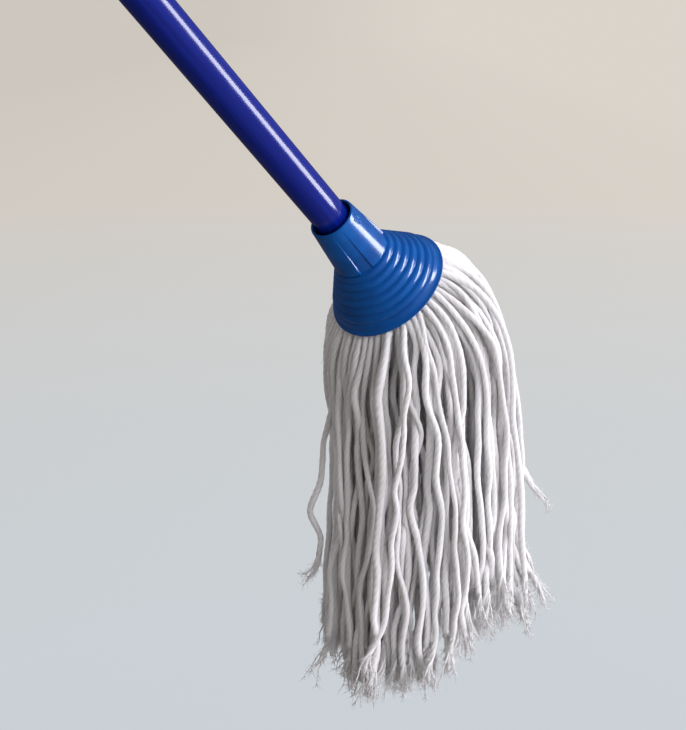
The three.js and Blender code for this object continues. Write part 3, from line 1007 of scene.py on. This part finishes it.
def socket_outline():
    """The socket's closed outline, rim first, as [radius, along], and what each stretch of it is."""
    rows = []
    middle = (SLEEVE_BORE + SLEEVE_RIM_RADIUS) / 2
    half = (SLEEVE_RIM_RADIUS - SLEEVE_BORE) / 2
    for turn in math.pi * np.linspace(0, 1, 6):
        rows.append((middle - half * math.cos(turn), SLEEVE_RIM + RIM_ROUND * (1 - math.sin(turn)), "plain"))
    for t in np.linspace(0.05, 1, 24):
        radius = SLEEVE_RIM_RADIUS + (SLEEVE_BASE_RADIUS - SLEEVE_RIM_RADIUS) * t
        rows.append((radius, SLEEVE_RIM + (-CONE_LENGTH - SLEEVE_RIM) * t - SLEEVE_STEP * (t == 1), "sleeve"))
    for step in range(RIBS * RIB_STEPS + 1):
        proud = RIB_HEIGHT * abs(math.sin(math.pi * step / RIB_STEPS))
        kind = "rib" if proud > 0.6 * RIB_HEIGHT else "plain"
        rows.append((*down_the_cone(step / RIB_STEPS * RIB_PITCH, proud), kind))
    bead_from = RIBS * RIB_PITCH + BEAD_FROM
    for down in np.linspace(bead_from, CONE_LENGTH / math.cos(CONE_SPREAD) - BEAD_TO, 5):
        proud = BEAD_HEIGHT * math.cos(math.pi * (down - bead_from) / BEAD_WAVE)
        rows.append((*down_the_cone(down, proud), "plain"))
    lip = CONE_WALL / 2
    for turn in math.pi * np.linspace(0, 1, 7):
        rows.append((MOUTH_RADIUS - lip + lip * math.cos(turn), -lip + lip * math.sin(turn), "lip"))
    for along in np.linspace(-2, CEILING, 10):
        rows.append((MOUTH_RADIUS - CONE_WALL + along * CONE_SLOPE, along, "plain"))
    for along in np.arange(CEILING, THREAD_TOP + 1.0, -0.3):
        rows.append((THREAD_RADIUS, along, "bore"))
    for along in (THREAD_TOP + 1, THREAD_TOP - 3, SLEEVE_RIM + 4, SLEEVE_RIM + 1.2):
        rows.append((SLEEVE_BORE, along, "plain"))
    return rows


def make_socket(plastic):
    """The sleeve with its grip panels, the ribbed cone and the inner thread, in one piece."""
    rows = socket_outline()
    outline = np.array([row[:2] for row in rows])
    kind = np.array([row[2] for row in rows])[:, None]
    panels = PANEL_TURN + full_turn(GRIP_PANELS)
    edges = [panel + side * PANEL_SPREAD / 2 for panel in panels for side in (-1, 1)]
    near_edges = [edge + math.radians(step) for edge in edges for step in (-1.0, -0.5, 0.5, 1.0)]
    angles = np.unique(np.round(np.concatenate([full_turn(216), np.mod(near_edges, TURN)]), 5))
    panel_top = SLEEVE_RIM + 1.5
    apart = TURN / GRIP_PANELS

    def shaped(radius, along, angle):
        share = np.clip((along - panel_top) / (-CONE_LENGTH - panel_top), 0, 1)
        from_panel = (angle - PANEL_TURN + apart / 2) % apart - apart / 2
        inside = np.clip((PANEL_SPREAD / 2 - np.abs(from_panel)) / PANEL_EDGE + 0.5, 0, 1)
        made = np.where(kind == "sleeve", radius + PANEL_PROUD * share * inside, radius)
        return np.where(kind == "bore", thread_radius(along, angle, THREAD_PLAY), made)

    crest = np.full(kind.shape, 0.1)
    for part, worn in (("rib", 1.0), ("lip", 0.8), ("sleeve", 0.35)):
        crest[kind == part] = worn
    piece = turned_piece("socket_shell", outline, angles, MOUTH, shaped, crest)
    dressed(piece, "socket", "socket_plastic", plastic, "socket")


def make_socket_mark(plastic):
    """A plain moulded U on the sleeve, below its rim."""
    line = []
    for t in np.linspace(0, 1, MARK_STEPS):
        arm = MARK_ARMS / MARK_ARM_SHARE * max(MARK_ARM_SHARE - t, t - 1 + MARK_ARM_SHARE, 0)
        turn = math.pi * min(max((t - MARK_ARM_SHARE) / (1 - 2 * MARK_ARM_SHARE), 0), 1)
        aside = -MARK_HALF * math.cos(turn)
        below = MARK_BELOW_RIM - arm + MARK_HALF * math.sin(turn)
        radius = SLEEVE_RIM_RADIUS + (SLEEVE_BASE_RADIUS - SLEEVE_RIM_RADIUS) * below / SLEEVE_LENGTH
        angle = MARK_AT + aside / radius
        line.append((radius * math.cos(angle), radius * math.sin(angle), SLEEVE_RIM + below))
    verts, quads, tris, _ = tubes(np.array([line]), np.full((1, MARK_STEPS), MARK_RADIUS), 10)
    extras = {"local": verts * MM, "crest": np.ones(len(verts))}
    piece = make_mesh("socket_mark", placed(verts), [quads, tris], extras)
    dressed(piece, "socket", "socket_plastic", plastic)


# ---- The clamp ----

PLUG_TOP_RADIUS = 10.0
PLUG_TOP_THICK = 2.4
PLUG_RADIUS = 22.0
PLUG_INNER_RADIUS = 19.6
PLUG_INNER_TOP_RADIUS = 7.6
PLUG_FOOT = -3.0
YARN_RING_RADIUS = 18.0
YARN_RING_AT = -23.5
YARN_RING_WIRE = 1.5


def make_clamp_plug():
    """The hollow cone that presses the yarn against the socket's cone."""
    top = CEILING + GAP
    outline = round_corners(
        [
            (NEAR_AXIS, top, 0),
            (PLUG_TOP_RADIUS, top, 1),
            (PLUG_RADIUS, PLUG_FOOT, 0.8),
            (PLUG_INNER_RADIUS, PLUG_FOOT, 0.8),
            (PLUG_INNER_TOP_RADIUS, top + PLUG_TOP_THICK, 1),
            (NEAR_AXIS, top + PLUG_TOP_THICK, 0),
        ],
        4,
    )
    plug = turned_piece("clamp_plug_shell", outline, full_turn(96))
    white = moulded_plastic("plug_plastic", *PLUG_WHITE, roughness=0.4)
    dressed(plug, "clamp", "plug_plastic", white, "clamp_plug")


def make_yarn_ring():
    """The wire ring that the yarn is folded round."""
    around = -full_turn(16)
    section = np.stack([np.cos(around), np.sin(around)], -1)
    outline = np.array([YARN_RING_RADIUS, YARN_RING_AT]) + YARN_RING_WIRE * section
    ring = turned_piece("yarn_ring_shell", outline, full_turn(96))
    dressed(ring, "clamp", "ring_steel", galvanised_wire(), "yarn_ring")


# ---- The studio, in metres ----

STUDIO_RADIUS = 60.0
FLOOR_LOW = -1.9
FLOOR_RINGS = (0.01, 1, 2, 4, 8, 16, 32, STUDIO_RADIUS)
WALL_HEIGHTS = (-2, 0, 3, 8, 20, 45, 70, 89.9)  # in degrees above level, as seen from the middle
LAMP_COLOUR = (0.90, 0.90, 1.0)
WINDOW_COLOUR = (0.98, 0.98, 1.0)
ROOM_COLOUR = (1.0, 0.945, 0.91)
WINDOW_SIZE = (1.9, 5.4)
CURTAIN_SIZE = (4.0, 5.4)
WINDOW_FACES = np.array([0.6, 0, 0.9])
WINDOW_FAR = 6.0
SOFT_SUN = math.radians(60)  # how wide the suns are in the sky
MIRRORED_ROOM = 0.3  # how bright the room is in reflections, as a share of its light


def studio_glow_with_painted_side_light():
    """The shadeless glow of the studio: cool near the mop, warm far off, and painted light that makes it
    brighter towards the window's side.
    """
    look = Look("studio", Base_Color=(0, 0, 0, 1), Roughness=1.0, Specular_IOR_Level=0, Emission_Strength=1.0)
    place = look.node("TexCoord").outputs["Object"]
    under_mop = (0.65, 0, FLOOR_LOW)
    far = look.vector("DISTANCE", place, under_mop, "Value")
    colour = look.mixed(look.ranged(far, 1.0, 9.0, 0, 1), (0.585, 0.635, 0.68), (0.66, 0.615, 0.56))
    # Painted light: the floor and wall grow brighter towards the camera's right, where the window stands.
    beside = look.vector("DOT_PRODUCT", place, RIGHT, "Value")
    look.feed("Emission Color", look.vector("MULTIPLY", colour, look.ranged(beside, -5, 5, 0.93, 1.07)))
    return look.material


def make_stage():
    """A wide pale floor well below the mop, and a plain wall round it, which both glow with the studio's
    tone. Neither lights the mop.
    """
    angles = full_turn(96)
    around = np.stack([np.cos(angles), np.sin(angles), 0 * angles], -1)
    up = np.array([0, 0, 1.0])
    points = np.concatenate([radius * around + FLOOR_LOW * up for radius in FLOOR_RINGS])
    floor = make_mesh("floor", points, [grid_faces(len(FLOOR_RINGS), len(angles))], smooth=False)
    rows = [math.cos(high) * around + math.sin(high) * up for high in np.radians(WALL_HEIGHTS)]
    wall = make_mesh("wall", STUDIO_RADIUS * np.concatenate(rows), [grid_faces(len(rows), len(angles))])
    painted_studio_glow = studio_glow_with_painted_side_light()
    for piece in (floor, wall):
        piece.data.materials.append(painted_studio_glow)
        piece.visible_diffuse = False
        piece.visible_glossy = False
        piece.visible_shadow = False


def turned_towards(direction):
    """The turn that makes a lamp shine from that direction."""
    side = unit(np.cross([0.0, 0, 1], direction))
    axes = np.stack([side, np.cross(direction, side), direction], axis=1)
    return Matrix([list(row) for row in axes]).to_4x4()


def beside_camera(right, above):
    """The way to something that many degrees to the camera's right and above level, seen from the mop."""
    return direction(VIEW_AZIMUTH + math.radians(right), math.radians(above))


def make_lamp(name, kind, matrix, energy, colour=LAMP_COLOUR, **settings):
    data = bpy.data.lights.new(name, kind)
    data.energy = energy
    data.color = colour
    for key, value in settings.items():
        setattr(data, key, value)
    lamp = bpy.data.objects.new(name, data)
    bpy.context.scene.collection.objects.link(lamp)
    lamp.matrix_world = matrix
    return lamp


def make_panel(name, matrix, energy, size, colour=LAMP_COLOUR):
    wide, tall = size
    return make_lamp(name, "AREA", matrix, energy, colour, shape="RECTANGLE", size=wide, size_y=tall)


def make_lights():
    """A tall window for the highlights, a curtain and two wide suns for the soft light.

    The window and the curtain stand to the camera's right. The suns shine from the front and the back.
    """
    towards = beside_camera(90, 0)
    spot = WINDOW_FACES + WINDOW_FAR * towards
    matrix = Matrix.Translation(spot) @ turned_towards(towards)
    window = make_panel("window", matrix, 460, WINDOW_SIZE, WINDOW_COLOUR)
    window.visible_diffuse = False
    curtain = make_panel("curtain", matrix, 205, CURTAIN_SIZE)
    curtain.visible_glossy = False
    for name, right, above, strength in (("sky", 50, 30, 2.2), ("back", 200, 25, 1.5)):
        matrix = turned_towards(beside_camera(right, above))
        sun = make_lamp(name, "SUN", matrix, strength, angle=SOFT_SUN)
        sun.visible_glossy = False


def make_room():
    """The light of the room all round: brighter on the window's side, and dimmer in reflections."""
    world = bpy.data.worlds.new("studio")
    bpy.context.scene.world = world
    world.use_nodes = True
    nodes = Nodes(world.node_tree)
    place = nodes.node("TexCoord").outputs["Generated"]
    facing = nodes.vector("DOT_PRODUCT", place, beside_camera(80, 5), "Value")
    mirrored = nodes.node("LightPath").outputs["Is Glossy Ray"]
    dimmed = nodes.ranged(mirrored, 0, 1, 1, MIRRORED_ROOM)
    strength = nodes.math("MULTIPLY", nodes.ranged(facing, -0.1, 0.9, 0.22, 0.85), dimmed)
    background = nodes.tree.nodes["Background"]
    background.inputs["Color"].default_value = (*ROOM_COLOUR, 1)
    nodes.tree.links.new(strength, background.inputs["Strength"])
    bpy.context.scene.view_settings.view_transform = "Standard"


make_camera()
make_yarn()
tip_blue = moulded_plastic("handle_plastic", *TIP_BLUE, roughness=0.3)
socket_blue = moulded_plastic("socket_plastic", *SOCKET_BLUE, roughness=0.2)
make_handle()
make_screw_tip(tip_blue)
make_end_cap(tip_blue)
make_socket(socket_blue)
make_socket_mark(socket_blue)
make_clamp_plug()
make_yarn_ring()
make_stage()
make_lights()
make_room()
